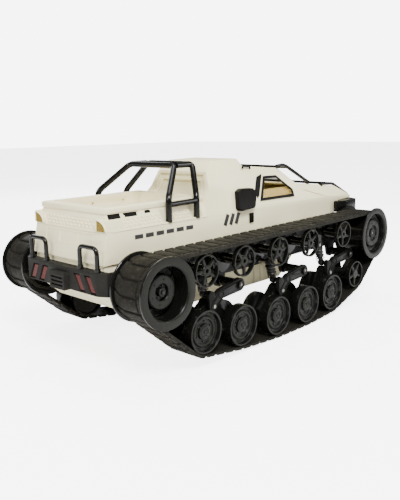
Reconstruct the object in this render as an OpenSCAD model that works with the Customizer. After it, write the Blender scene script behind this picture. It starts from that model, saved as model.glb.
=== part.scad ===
// Radio-controlled tracked vehicle: a light pickup-style body on a sprung tank chassis.
// +X points forwards, +Y to the vehicle's left and +Z up. The origin is on the ground,
// midway between the drive sprockets and the idlers, on the vehicle's centre line.

/* [Tracks] */
// Distance between the sprocket axle and the idler axle
wheelbase = 300; // [298:1:304]
// Height of the sprocket axle above the ground
sprocket_z = 69; // [68:0.5:70]
// Height of the idler axle above the ground
idler_z = 71.7; // [71:0.1:73]
// Inner edge of each belt, measured from the centre line
belt_in = 61.2; // [61:0.1:61.5]
// Width of each belt
belt_w = 29.9; // [29.5:0.1:30]
// Thickness of the belt with its pads
belt_t = 2.6; // [2.2:0.1:2.8]

/* [Wheels] */
// Radius of the road wheels
road_r = 17.3; // [16.5:0.1:17.5]
// Radius of the small leading wheel
lead_r = 13.4; // [12.5:0.1:13.5]
// Radius of the return rollers
roller_r = 12.9; // [12:0.1:13]
// Radius of the sprocket and idler flanges
flange_r = 26.8; // [26:0.1:27]
// Gap between a belt and the wheels inside it
belt_gap = 0.5; // [0.4:0.05:0.6]
// Radial clearance of every axle in its bore
running_gap = 0.06; // [0.04:0.01:0.1]

/* [Body] */
// Half width of the body at its shoulder line
body_half = 47; // [46:0.5:47]
// Height of the shoulder line above the ground
shoulder_z = 110.3; // [110:0.1:110.5]
// Wall thickness of the moulded body
wall = 2; // [1.6:0.1:2.2]
// How far the cab sides lean in, per unit of height
lean = 0.46; // [0.45:0.01:0.47]
// Half width of the lower hull
hull_half = 45.3; // [44:0.1:45.3]

/* [Tubes] */
// Radius of the roll cage tube
cage_r = 2.4; // [2:0.1:2.5]
// Radius of the rear hoop tube
hoop_r = 1.5; // [1.2:0.1:1.6]

/* [Hidden] */
SIDES = ["left", "right"];
WHEEL_NODES = [for (s = SIDES)
    each concat([str("drive_sprocket_", s), str("idler_wheel_", s), str("lead_wheel_", s)],
                [for (i = [1:5]) str("return_roller_", s, "_", i)],
                [for (i = [1:5]) str("road_wheel_", s, "_", i)],
                [for (i = [1:3]) str("swing_arm_", s, "_", i)],
                [for (i = [1:3]) str("bogie_", s, "_", i)])];

fine = 96;
axle_half = wheelbase / 2;
belt_out = belt_in + belt_w;
inner_gap = belt_t + belt_gap;
// Drum radius inside the belt at each end, and how far the belt stands off it
drum_gap = 0.3;
sprocket_drum = 21.6;
idler_drum = 20.9;
// Lateral layers inside one track, as distances from the centre line
rail_in = 53.8;
rail_out = 56.8;
disc_in = [61, 66];
disc_out = [81, 90.3];
bogie_y = [67.5, 75.5];
arm_y = [76, 80.2];
shock_y = 71;
pin_r = 1.5;
pivot_r = 2;
axle_r = 2.5;

// Return rollers, front to rear positions along the top run
roller_x = [-107, -62.5, -15.2, 33.5, 91.2];
roller_drop = 1 + roller_r;
// Road wheel centres [x, z], rear to front; the middle pair stands level on the ground
ground_z = inner_gap + road_r;
road = [[-109, ground_z + 8.9], [-64, ground_z + 3.1], [-16, ground_z], [30.3, ground_z],
        [72.5, ground_z + 2.8]];
lead = [116.7, 33.3];
bogie_wheels = [[road[0], road[1]], [road[2], road[3]], [road[4], lead]];
// Upper pivot of each swing arm on the chassis, and lower pivot that carries the bogie
arm_top = [[-56.5, 55.2], [37.6, 50.1], [120.9, 53.2]];
arm_low = [[-89.6, 43.7], [2.8, 37.7], [82.8, 39.8]];
shock_top = [[-94, 66.5], [-5, 64.5], [74, 68.5]];
shock_low = [for (p = arm_low) [p[0] - 2, p[1] + 9.5]];

// Side outline of the cab, bonnet and nose as [x, z]
floor_z = 86;
cab_line = [[-63, floor_z], [-63, 110], [-47.4, 131], [-43.5, 146], [-33, 155], [2.5, 155.4],
    [7.2, 148.3], [57.3, 143.9], [61, 141.8], [81.5, 126.4], [120, 122.5], [147, 119.8],
    [176, 106.6], [175, 105], [150, 104], [142.5, 91.4], [141, floor_z]];
// Cavity behind the recessed rear wall of the cab
cab_cavity = [[-55, floor_z - 10], [-55, 110], [-40.4, 130.2], [-37, 144.6], [-31.2, 153], [1.4, 153.4],
    [6, 146.4], [56.6, 141.9], [59.9, 140], [80.6, 124.5], [119.8, 120.5], [146.4, 117.8],
    [170, 107], [149, 106], [140, 91.8], [138.6, floor_z - 10]];
cab_top = 158;
windscreen = [[61, 141.8], [81.5, 126.4]];
side_window = [[15.3, 115.7], [32, 137.5], [51.7, 137.2], [71, 122.2], [70.1, 115.4]];
vent = [[12.6, 118.5], [13, 126], [22, 137.4], [30.6, 139.8], [29.6, 138.2], [16.4, 120.6]];
intake = [[-22.3, 112.5], [-20.5, 110.6], [-2, 111.6], [0.6, 113.4], [8.6, 124.8], [4.9, 128.7],
    [-10.5, 129.3], [-16, 127]];
bonnet_scoop = [[85.5, 121.5], [101.9, 114.6], [129.4, 109.5]];

// Load bed
bed_rear = -167;
bed_front = -63;
rim_z = [123.2, 127.5];
rim_half = 41.6;
bed_floor = 109;
bed_half = 35;
foot_x = [-104, -72];
foot_y = 46;
foot_pocket = 13;
// Half outlines of the bed as [y, z]: its skin, the hollow inside its double wall, and its side view
bed_half_line = [[body_half, floor_z], [body_half, shoulder_z], [rim_half - 0.8, rim_z[0] - 0.8],
    [rim_half - 0.8, rim_z[0]], [rim_half, rim_z[0]], [rim_half, rim_z[1] - 1], [rim_half - 1, rim_z[1]]];
bed_void_line = [[body_half - wall, floor_z - 5], [body_half - wall, shoulder_z - 0.8],
    [rim_half - 2.6, rim_z[0] - 2], [bed_half + wall, rim_z[0] - 2], [bed_half + wall, bed_floor - wall]];
bed_side_line = [[-171.5, floor_z], [bed_rear, shoulder_z], [-163.8, rim_z[0] - 0.8],
    [-163.8, rim_z[0]], [-164.6, rim_z[0]], [-164.6, rim_z[1] - 1], [-163.6, rim_z[1]],
    [bed_front + 3, rim_z[1]], [bed_front + 3, floor_z]];

// Roll cage: knee height of each hoop, and its top corner as [x, half width, z]
cage_knee_z = [129.6, 127.8];
cage_top = [[-79.8, 28.5, 153.7], [-58.5, 28.5, 153.7]];

// Rear reflectors: distance of each foot from the centre line, and how far its top leans in
reflector_foot = [40.7, 27.3];
reflector_run = 5.8;

// Lower hull outline [x, z]
hull_line = [[-170, 85.8], [-170, 64], [-150, 46], [-132, 38], [45, 38], [72, 60], [138, 62],
    [148, 80], [141, 85.8]];
hatch = [-32, 42, 22];

function lerp(a, b, t) = a + (b - a) * t;
function belt_inner_z(x) =
    lerp(sprocket_z + sprocket_drum + drum_gap, idler_z + idler_drum + drum_gap,
         (x + axle_half) / wheelbase);
function roller_z(x) = belt_inner_z(x) - roller_drop;

// Extrude an [x, z] outline across the vehicle from y0 to y1
module across(y0, y1) {
    translate([0, y1, 0]) rotate([90, 0, 0]) linear_extrude(y1 - y0) children();
}
// Extrude a [y, z] outline along the vehicle from x0 to x1
module along(x0, x1) {
    translate([x0, 0, 0]) rotate([90, 0, 90]) linear_extrude(x1 - x0) children();
}
// Turn a [radius, y] outline about an axle at [x, z]
module turned(p) {
    translate([p[0], 0, p[1]]) rotate([-90, 0, 0]) rotate_extrude($fn = fine) children();
}
// Round bar across the vehicle from y0 to y1 at [x, z]
module axle(p, r, y0, y1) {
    translate([p[0], y0, p[1]]) rotate([-90, 0, 0]) cylinder(h = y1 - y0, r = r, $fn = fine);
}
// Place something drawn for the left side on the named side
module on_side(s) {
    mirror([0, s == "right" ? 1 : 0, 0]) children();
}
module both_sides() {
    for (s = SIDES) on_side(s) children();
}
// Straight tube between two points with a ball at its far end
module tube(a, b, r) {
    d = b - a;
    translate(a) rotate([0, acos(d[2] / norm(d)), atan2(d[1], d[0])])
        cylinder(h = norm(d), r = r, $fn = 48);
}
module tube_run(points, r) {
    for (i = [0:len(points) - 2]) tube(points[i], points[i + 1], r);
    for (i = [1:len(points) - 2]) translate(points[i]) sphere(r = r + 0.08, $fn = 48);
}

// ---------------------------------------------------------------- tracks and wheels
// Loop around the sprocket, idler and all the lower wheels, this far off their rims
module loop_outline(off) {
    hull() {
        translate([-axle_half, sprocket_z]) circle(r = sprocket_drum + drum_gap + off, $fn = fine);
        translate([axle_half, idler_z]) circle(r = idler_drum + drum_gap + off, $fn = fine);
        for (p = road) translate(p) circle(r = road_r + belt_gap + off, $fn = fine);
        translate(lead) circle(r = lead_r + belt_gap + off, $fn = fine);
    }
}
module track(s) {
    color("dimgray") on_side(s) across(belt_in, belt_out) difference() {
        loop_outline(belt_t);
        loop_outline(0);
    }
}
module drive_sprocket(s) {
    color([0.13, 0.13, 0.12]) on_side(s) {
        turned([-axle_half, sprocket_z]) polygon([[0, 59], [6, 59], [6, 74.5], [19.2, 74.5], [19.2, 59],
            [flange_r, 59], [flange_r, 60.9], [sprocket_drum, 60.9], [sprocket_drum, 91.4],
            [flange_r, 91.4], [flange_r, 93.3], [20.6, 93.3], [19.4, 92.3], [18.6, 78.5], [13.4, 78.5],
            [13.2, 84.6], [12.2, 85.6], [6.6, 85.6], [6, 84.6], [6, 82.6], [3.4, 82.6], [3.4, 86],
            [0, 86]]);
        axle([-axle_half, sprocket_z], axle_r, 34, 60);
    }
}
module idler_wheel(s) {
    color([0.13, 0.13, 0.12]) on_side(s) turned([axle_half, idler_z])
        polygon([[axle_r + running_gap, 59], [6, 59], [6, 80], [18.6, 80], [18.6, 59],
            [flange_r, 59], [flange_r, 60.9], [idler_drum, 60.9], [idler_drum, 91.4],
            [flange_r, 91.4], [flange_r, 93.3], [21.4, 93.3], [20.4, 92.4], [19.4, 86.6], [14.8, 86.6],
            [14.2, 89.4], [13, 90.2], [8.4, 90.2], [7.8, 88], [4.6, 88], [4.6, 90],
            [axle_r + running_gap, 90]]);
}
// Pressed-steel style disc pair on one axle; the outer face is dished and ribbed
module road_wheel(s, i) {
    r = road_r;
    color([0.16, 0.16, 0.15]) on_side(s) turned(road[i - 1])
        polygon([[0, disc_in[0]], [4.4, disc_in[0]], [5, 63.4], [r - 2.6, 63.4], [r - 2, disc_in[0]],
            [r, disc_in[0]], [r, disc_in[1]], [3.6, disc_in[1]], [3.6, 67.2], [pivot_r, 67.2],
            [pivot_r, 80.6], [4, 80.6], [4, disc_out[0]], [5, disc_out[0]], [5, 83.6], [r - 2.2, 83.6],
            [r - 1.6, disc_out[0]], [r, disc_out[0]], [r, disc_out[1]], [r - 1.4, disc_out[1]],
            [r - 2.9, 86.4], [12.2, 86.1], [11.6, 88], [10, 88], [9.5, 86], [6.6, 86], [6.2, 88.6],
            [3.2, 89.2], [0, 89.2]]);
}
// Thin rim with five spokes, standing in for the open face of a roller
module spoked_face(p, r, y0, y1) {
    spokes = 5;
    spoke_w = 2.6;
    hub = r * 0.24;
    difference() {
        axle(p, r, y0, y1);
        axle(p, r - 1.5, y0 - 1, y1 + 1);
    }
    axle(p, hub + 1.2, y0, y1 - 0.4);
    translate([p[0], 0, p[1]]) for (k = [0:spokes - 1]) rotate([0, k * 360 / spokes + 90, 0])
        translate([hub, y0 + 0.8, -spoke_w / 2]) cube([r - 0.8 - hub, 2.2, spoke_w]);
}
module return_roller(s, i) {
    p = [roller_x[i - 1], roller_z(roller_x[i - 1])];
    color([0.14, 0.14, 0.13]) on_side(s) difference() {
        union() {
            spoked_face(p, roller_r, 86.6, disc_out[1]);
            axle(p, 4.2, disc_in[0], 87);
            axle(p, roller_r, disc_in[0], 65.4);
        }
        axle(p, pin_r + running_gap, 50, 95);
    }
}
module lead_wheel(s) {
    color([0.14, 0.14, 0.13]) on_side(s) {
        spoked_face(lead, lead_r, 85, disc_out[1]);
        axle(lead, 4.4, disc_out[0], 86);
        axle(lead, pivot_r, disc_in[1] - 0.5, disc_out[0] + 0.5);
        axle(lead, lead_r, disc_in[0], disc_in[1]);
    }
}

// ---------------------------------------------------------------- suspension
// Flat web joining two round bosses, drawn as an [x, z] outline
module web(a, b, ra, rb) {
    hull() {
        translate(a) circle(r = ra, $fn = 48);
        translate(b) circle(r = rb, $fn = 48);
    }
}
module swing_arm(s, i) {
    top = arm_top[i - 1];
    low = arm_low[i - 1];
    knee = [low[0] + 9, top[1] - 3.2];
    spring = shock_low[i - 1];
    color([0.1, 0.1, 0.1]) on_side(s) difference() {
        union() {
            across(arm_y[0], arm_y[1]) {
                web(top, knee, 5.4, 4.2);
                web(knee, low, 4.2, 4.8);
                web(low, spring, 4.6, 3.4);
            }
            axle(top, 4.2, rail_out + 0.4, arm_y[1] - 1);
            axle(low, pivot_r, bogie_y[0] - 0.4, arm_y[0] + 1);
            axle(low, 3, arm_y[1] - 1, arm_y[1] + 0.5);
            axle(spring, pin_r, shock_y - 2.6, arm_y[0] + 1);
        }
        axle(top, pivot_r + running_gap, 50, 90);
    }
}
module bogie(s, i) {
    low = arm_low[i - 1];
    pair = bogie_wheels[i - 1];
    color([0.1, 0.1, 0.1]) on_side(s) difference() {
        across(bogie_y[0], bogie_y[1]) {
            web(low, pair[0], 5.6, 4.6);
            web(low, pair[1], 5.6, 4.6);
        }
        axle(low, pivot_r + running_gap, 60, 90);
        axle(pair[0], pivot_r + running_gap, 60, 90);
        axle(pair[1], pivot_r + running_gap, 60, 90);
    }
}
// Damper between a chassis stub and the arm: two eyes, a body, a rod and a spring boot
module shock(a, b) {
    length = norm(b - a);
    turn = atan2(b[0] - a[0], b[1] - a[1]);
    boot_r = 4.5;
    difference() {
        union() {
            axle(a, 3.3, shock_y - 2.2, shock_y + 2.2);
            axle(b, 3, shock_y - 2.2, shock_y + 2.2);
            translate([a[0], shock_y, a[1]]) rotate([0, turn, 0])
                translate([0, 0, 1.6]) cylinder(h = length - 3.2, r = 2, $fn = 48);
            translate([a[0], shock_y, a[1]]) rotate([0, turn, 0])
                translate([0, 0, 3.4]) cylinder(h = length - 6.2, r = boot_r, $fn = 48);
        }
        axle(a, pivot_r + 0.05, 50, 90);
        axle(b, pin_r + 0.05, 50, 90);
    }
}
module shock_absorbers() {
    color([0.08, 0.08, 0.08]) both_sides() for (i = [0:2]) shock(shock_top[i], shock_low[i]);
}

// ---------------------------------------------------------------- chassis
module side_rails() {
    rail_line = [[-161, 62], [-161, 76], [-140, 85.7], [140, 85.7], [160, 79], [160, 64], [150, 61],
        [128, 60], [-140, 60]];
    color([0.12, 0.12, 0.12]) both_sides() difference() {
        union() {
            across(rail_in, rail_out) polygon(rail_line);
            translate([-140, hull_half + 0.4, 83.7]) cube([278, rail_in - hull_half, 2]);
            for (p = arm_top) across(rail_in, rail_out) web(p, [p[0], 66], 5.6, 9);
        }
        for (x = roller_x) axle([x, roller_z(x)], pin_r + 0.02, 40, 60);
        for (p = concat(arm_top, shock_top)) axle(p, pivot_r + 0.02, 40, 60);
        axle([axle_half, idler_z], axle_r + 0.02, 40, 60);
        axle([-axle_half, sprocket_z], axle_r + running_gap, 40, 60);
    }
}
module steel_pins() {
    color("silver") both_sides() {
        for (x = roller_x) axle([x, roller_z(x)], pin_r, hull_half + 0.6, 86.2);
        for (p = arm_top) {
            axle(p, pivot_r, rail_in - 1.5, arm_y[1] + 0.5);
            axle(p, 3.2, arm_y[1] + 0.2, arm_y[1] + 1.6);
        }
        for (p = shock_top) axle(p, pivot_r, rail_in - 1.5, shock_y + 2.8);
        axle([axle_half, idler_z], axle_r, hull_half + 0.6, 89.6);
    }
}
module hull_tub() {
    color([0.86, 0.84, 0.78]) difference() {
        union() {
            across(-hull_half, hull_half) polygon(hull_line);
            both_sides() for (x = [4, 14, 24]) translate([x, hull_half - 0.5, 40]) cube([3, 1.2, 19]);
        }
        across(wall - hull_half, hull_half - wall) offset(delta = -wall) polygon(hull_line);
        across(wall - hull_half, hull_half - wall) polygon([[-167, 80], [-167, 90], [138, 90], [142, 80]]);
        translate([hatch[0], -hatch[2], 30]) cube([hatch[1] - hatch[0], 2 * hatch[2], 12]);
        axle([-axle_half, sprocket_z], axle_r + 0.5, -60, 60);
        translate([-66, -1.9, 30]) cube([10, 3.8, 12]);
    }
}
module battery_hatch() {
    color([0.8, 0.78, 0.72]) difference() {
        translate([hatch[0] + 0.3, 0.3 - hatch[2], 38.05])
            cube([hatch[1] - hatch[0] - 0.6, 2 * hatch[2] - 0.6, 1.9]);
        for (x = [hatch[0] + 5, hatch[1] - 5]) for (y = [-16, 16]) translate([x, y, 36])
            cylinder(h = 6, r = 1.5, $fn = 32);
    }
}
module power_switch() {
    color([0.1, 0.1, 0.1]) {
        translate([-65.6, -3.2, 40.15]) cube([6, 6.4, 1.8]);
        translate([-64.1, -1.5, 36.8]) cube([3, 3, 3.6]);
    }
}
module drive_units() {
    color([0.3, 0.3, 0.32]) both_sides() {
        difference() {
            translate([-159, 16, 60]) cube([24, 27, 21]);
            axle([-axle_half, sprocket_z], axle_r + running_gap, 20, 60);
        }
        translate([-135.2, 28, 69]) rotate([0, 90, 0]) cylinder(h = 38, r = 10.5, $fn = fine);
    }
}
module battery_pack() {
    color([0.1, 0.2, 0.45]) translate([-28, -19, 41.5]) cube([66, 38, 22]);
}
module control_board() {
    color([0.1, 0.35, 0.2]) {
        translate([-50, -26, 74]) cube([72, 52, 1.6]);
        for (x = [-40, -16, 6]) translate([x, -12, 75.4]) cube([11, 13, 4]);
    }
}

// ---------------------------------------------------------------- body
// Front view outline of the cab: upright below the shoulder, leaning in above it
module cab_section(grow) {
    top_half = body_half - (cab_top - shoulder_z) * lean;
    polygon([[-body_half - grow, 60], [-body_half - grow, shoulder_z], [-top_half - grow, cab_top],
        [top_half + grow, cab_top], [body_half + grow, shoulder_z], [body_half + grow, 60]]);
}
// Part of the cab side between two distances off its surface, cut to an [x, z] outline
module side_skin(low, high) {
    intersection() {
        along(-180, 190) difference() {
            cab_section(high);
            cab_section(low);
        }
        across(-80, 80) children();
    }
}
// Mirror a half outline of the load bed, as [y, z], about the centre line
module bed_outline(points) {
    polygon(concat([for (p = points) p], [for (i = [len(points) - 1:-1:0]) [-points[i][0], points[i][1]]]));
}
module load_bed() {
    difference() {
        union() {
            intersection() {
                along(-180, bed_front + 3) bed_outline(bed_half_line);
                across(-50, 50) polygon(bed_side_line);
            }
            both_sides() intersection() {
                along(bed_rear, -151) polygon([[35, 109], [35, 118.5], [47, 118.5], [47, 109]]);
                across(30, 50) polygon([[bed_rear, 109], [bed_rear, 118.5], [-155.5, 118.5],
                    [-152.6, 117.2], [-151, 114.4], [-151, 109]]);
            }
        }
        // load space
        translate([-158, -bed_half, bed_floor]) cube([bed_front - 4 + 158, 2 * bed_half, 30]);
        // hollow under the floor and inside the double walls
        intersection() {
            along(-180, bed_front + 5) bed_outline(bed_void_line);
            across(-50, 50) polygon([[-168.8, floor_z - 5], [-165.2, 109.4], [-161.8, rim_z[0] - 2],
                [-160, rim_z[0] - 2], [-160, bed_floor - wall], [bed_front + 5, bed_floor - wall],
                [bed_front + 5, floor_z - 5]]);
        }
        both_sides() {
            // pockets for the roll cage feet
            for (x = foot_x) translate([x - foot_pocket / 2, 41.6, shoulder_z])
                cube([foot_pocket, 10, rim_z[1]]);
            // slots under the rim
            translate([-161.8, 37.4, 118.8]) cube([11.6, 12, 3.6]);
            translate([-147, 40, 120.4]) cube([15, 12, 1.8]);
            translate([-125, 40, 120.8]) cube([4, 12, 1.2]);
            for (x = [-118, -84]) translate([x, bed_half - 1, 121]) rotate([-90, 0, 0])
                cylinder(h = wall + 2, r = 1.3, $fn = 32);
        }
    }
    both_sides() for (x = foot_x) {
        translate([x - foot_pocket / 2 - 1, 39.6, shoulder_z - 2]) cube([foot_pocket + 2, 2, 13]);
        translate([x - foot_pocket / 2 - 1, 39.6, shoulder_z - 2]) cube([foot_pocket + 2, 6.4, 2]);
    }
}
module cab() {
    difference() {
        intersection() {
            across(-60, 60) polygon(cab_line);
            along(-70, 180) cab_section(0);
        }
        intersection() {
            across(-60, 60) polygon(cab_cavity);
            along(-70, 180) offset(delta = -wall) cab_section(0);
        }
        // stepped recess in the rear wall
        intersection() {
            along(-90, -20) offset(delta = -4.5) polygon([[-44.5, 106], [44.5, 106], [31, 148], [-31, 148]]);
            across(-60, 60) polygon([[-80, 112], [-60, 112], [-45.6, 131], [-41.8, 146], [-80, 146]]);
        }
        intersection() {
            along(-90, -20) offset(delta = -10) polygon([[-44.5, 105], [44.5, 105], [31, 148], [-31, 148]]);
            across(-60, 60) polygon([[-80, 112], [-58, 112], [-43.8, 131], [-40.1, 146], [-80, 146]]);
        }
        // windscreen and side window openings
        intersection() {
            across(-29, 29) polygon([windscreen[0] + [2, -1], windscreen[0] + [10, 10],
                windscreen[1] + [10, 10], windscreen[1] + [-2, 1], windscreen[1] + [-8, -8],
                windscreen[0] + [-5, -8]]);
            translate([0, -50, 0]) cube([200, 100, 200]);
        }
        both_sides() across(20, 60) offset(delta = -1) polygon(side_window);
        side_skin(-1, 3) polygon(bonnet_scoop);
    }
}
module body_shell() {
    color([0.87, 0.85, 0.79]) {
        load_bed();
        cab();
    }
}
module window_panes() {
    color([0.8, 0.75, 0.6, 0.4]) {
        side_skin(-1.4, -0.3) offset(delta = -1.3) polygon(side_window);
        translate([windscreen[0][0], -28.6, windscreen[0][1]]) rotate([0, 36.9, 0])
            translate([2.9, 0, -1.6]) cube([20, 57.2, 1]);
    }
}
module window_frames() {
    color([0.07, 0.07, 0.07]) {
        side_skin(0.05, 0.9) difference() {
            polygon(side_window);
            offset(delta = -2.4) polygon(side_window);
        }
        side_skin(0.05, 0.8) polygon(vent);
    }
}
// Flat moulded bar that follows [x, z] points, r thick each way, centred at this y
module bar(points, y, r) {
    across(y - r, y + r) for (i = [0:len(points) - 2]) web(points[i], points[i + 1], r, r);
}
module guard_bars() {
    roof_y = 32;
    nose_y = 41;
    bar_r = 1.3;
    color([0.07, 0.07, 0.07]) {
        both_sides() {
            bar([[57, 145.4], [68, 146.6], [75, 144], [115.6, 124.6]], roof_y, bar_r);
            bar([[122, 123.8], [147.4, 121.6], [179, 107.4]], nose_y, bar_r);
            bar([[4, 146.2], [4.6, 148.6], [15.4, 147.8], [16, 145.4]], 31.9, 0.8);
        }
        axle([75, 144], bar_r - 0.1, -roof_y, roof_y);
        axle([147.4, 121.6], bar_r - 0.1, -nose_y, nose_y);
    }
}
module cage_hoop(i) {
    foot = [foot_x[i], foot_y, shoulder_z + 0.1];
    tube_run([foot, [foot[0], foot_y, cage_knee_z[i]], cage_top[i], [cage_top[i][0], 0, cage_top[i][2]]],
        cage_r);
}
module roll_cage() {
    side_rail_z = [124.2, 124.8];
    color([0.06, 0.06, 0.06]) both_sides() {
        for (i = [0, 1]) cage_hoop(i);
        tube(cage_top[0], cage_top[1], cage_r - 0.1);
        tube([foot_x[0], foot_y, side_rail_z[0]], [foot_x[1], foot_y, side_rail_z[1]], cage_r - 0.3);
    }
}

// ---------------------------------------------------------------- bumpers and lamps
module reflector_outline(c, grow) {
    offset(delta = grow) polygon([[c - 2.5, 66.4], [c + 2.5, 66.4], [c + 2.5 - reflector_run, 77.2],
        [c - 2.5 - reflector_run, 77.2]]);
}
module rear_bumper() {
    color([0.22, 0.22, 0.21]) difference() {
        union() {
            translate([0, 0, 64.4]) linear_extrude(17.4) polygon([[-178, -45.8], [-178, 45.8],
                [-174, 53.6], [-160, 53.6], [-160, 50.4], [-170.1, 50.4], [-170.1, -50.4],
                [-160, -50.4], [-160, -53.6], [-174, -53.6]]);
            translate([-182, -9.8, 63.6]) cube([6, 19.6, 13.6]);
        }
        both_sides() for (c = reflector_foot) along(-179, -175.4) reflector_outline(c, 1.2);
        for (z = [66.2:3:74]) translate([-183, -7.8, z]) cube([3, 15.6, 1.4]);
        translate([-173.6, -48, 65.9]) cube([5, 96, 14.4]);
    }
}
module bumper_hoops() {
    hoop_y = [22.8, 44];
    hoop_x = -175;
    base_z = 81.9;
    top_z = 99.5;
    bend = 4;
    color([0.05, 0.05, 0.05]) both_sides() {
        tube_run([[hoop_x, hoop_y[0], base_z], [hoop_x, hoop_y[0], top_z - bend],
            [hoop_x, hoop_y[0] + bend * 0.3, top_z - bend * 0.3], [hoop_x, hoop_y[0] + bend, top_z],
            [hoop_x, hoop_y[1] - bend, top_z], [hoop_x, hoop_y[1] - bend * 0.3, top_z - bend * 0.3],
            [hoop_x, hoop_y[1], top_z - bend], [hoop_x, hoop_y[1], base_z]], hoop_r);
        for (y = hoop_y) translate([hoop_x, y, base_z]) cylinder(h = 2.4, r = 2.5, $fn = 48);
    }
}
module red_reflectors() {
    color([0.6, 0.2, 0.18]) both_sides() for (c = reflector_foot)
        along(-177.2, -175.5) reflector_outline(c, 0);
}
module corner_lamps() {
    lamp_w = 10.6;
    lamp_h = 7.6;
    color([0.85, 0.6, 0.2]) for (y = [35.6, -46.4]) along(bed_rear - 1.3, bed_rear - 0.05)
        translate([y + lamp_w, 110.6]) intersection() {
            scale([lamp_w / lamp_h, 1]) circle(r = lamp_h, $fn = 64);
            translate([-lamp_w, 0]) square([lamp_w, lamp_h]);
        }
}
module front_bumper() {
    plan = [[140, -52], [149, -58], [168, -58], [178, -53], [182, -45], [182, 45], [178, 53],
        [168, 58], [149, 58], [140, 52]];
    color([0.1, 0.1, 0.1]) difference() {
        translate([0, 0, 92]) linear_extrude(11.9) polygon(plan);
        translate([0, 0, 90]) linear_extrude(11.9) offset(delta = -3) polygon(plan);
        translate([130, -47.6, 80]) cube([20.8, 95.2, 30]);
    }
}
module intake_covers() {
    color([0.07, 0.07, 0.07]) {
        side_skin(0.05, 6) polygon(intake);
        both_sides() translate([-4.3, body_half + 0.05, 97.6]) cube([5.9, 1.4, 9.1]);
    }
}

track("left");  // track_left
track("right");  // track_right
hull_tub();
battery_hatch();
body_shell();
side_rails();
steel_pins();
roll_cage();
rear_bumper();
bumper_hoops();
red_reflectors();
corner_lamps();
window_panes();
window_frames();
guard_bars();
front_bumper();
intake_covers();
drive_units();
battery_pack();
control_board();
power_switch();
shock_absorbers();
for (s = SIDES) {
    drive_sprocket(s);
    idler_wheel(s);
    lead_wheel(s);
    for (i = [1:5]) {
        return_roller(s, i);
        road_wheel(s, i);
    }
    for (i = [1:3]) {
        swing_arm(s, i);
        bogie(s, i);
    }
}
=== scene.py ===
import math
from bisect import bisect_right

import bmesh
import bpy
from mathutils import Matrix, Vector


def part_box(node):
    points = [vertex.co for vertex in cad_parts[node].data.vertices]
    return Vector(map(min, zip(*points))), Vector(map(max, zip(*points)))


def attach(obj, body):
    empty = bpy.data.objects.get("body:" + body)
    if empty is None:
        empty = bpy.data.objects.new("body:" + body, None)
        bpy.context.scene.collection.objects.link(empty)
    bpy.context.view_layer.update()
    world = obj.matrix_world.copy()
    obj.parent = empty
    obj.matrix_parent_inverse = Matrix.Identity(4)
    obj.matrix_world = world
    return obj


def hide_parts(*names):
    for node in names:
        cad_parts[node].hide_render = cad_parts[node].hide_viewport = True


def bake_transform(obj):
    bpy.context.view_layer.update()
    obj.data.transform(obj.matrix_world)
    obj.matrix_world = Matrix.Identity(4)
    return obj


# Looks for the tracked remote-control pickup. Lengths are in millimetres until a piece is made,
# and side pieces are drawn for the left side (+Y) and mirrored for the right.
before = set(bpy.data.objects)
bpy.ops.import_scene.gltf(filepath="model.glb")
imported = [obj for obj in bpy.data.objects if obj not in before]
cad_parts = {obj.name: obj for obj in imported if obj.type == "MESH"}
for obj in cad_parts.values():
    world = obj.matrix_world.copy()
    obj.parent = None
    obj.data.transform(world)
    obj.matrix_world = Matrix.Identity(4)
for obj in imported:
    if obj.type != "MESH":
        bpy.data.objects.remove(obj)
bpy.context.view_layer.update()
MM = 0.001
SIDES = {"left": 1, "right": -1}
BODY_HALF = 47.0  # half the body's width below its shoulder line
SHOULDER_Z = 110.3
LEAN = 0.46  # how far the cab side leans in for each millimetre above the shoulder line
BED_LEAN = 0.512
CREASE = math.radians(32)


# ---------------------------------------------------------------- camera, floor and light
def build_camera():
    """The photo's view, solved from its wheels, axles and body corners."""
    camera = bpy.data.objects.new("camera", bpy.data.cameras.new("camera"))
    bpy.context.scene.collection.objects.link(camera)
    camera.data.lens = 43.68
    camera.data.sensor_width = 36
    camera.data.clip_end = 20
    right = Vector((0.68958186, -0.72398905, -0.01779671))
    up = Vector((0.15431459, 0.12288243, 0.9803504))
    back = right.cross(up)
    turn = Matrix((right, up, back)).transposed().to_4x4()
    camera.matrix_world = Matrix.Translation((-0.4337, -0.3959, 0.1835)) @ turn
    bpy.context.scene.camera = camera


def area_light(name, place, target, size, power):
    light = bpy.data.lights.new(name, "AREA")
    light.shape = "RECTANGLE"
    light.size, light.size_y = size
    light.energy = power
    obj = bpy.data.objects.new(name, light)
    bpy.context.scene.collection.objects.link(obj)
    aim = Vector(target) - Vector(place)
    obj.location = place
    obj.rotation_euler = aim.to_track_quat("-Z", "Y").to_euler()


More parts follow.
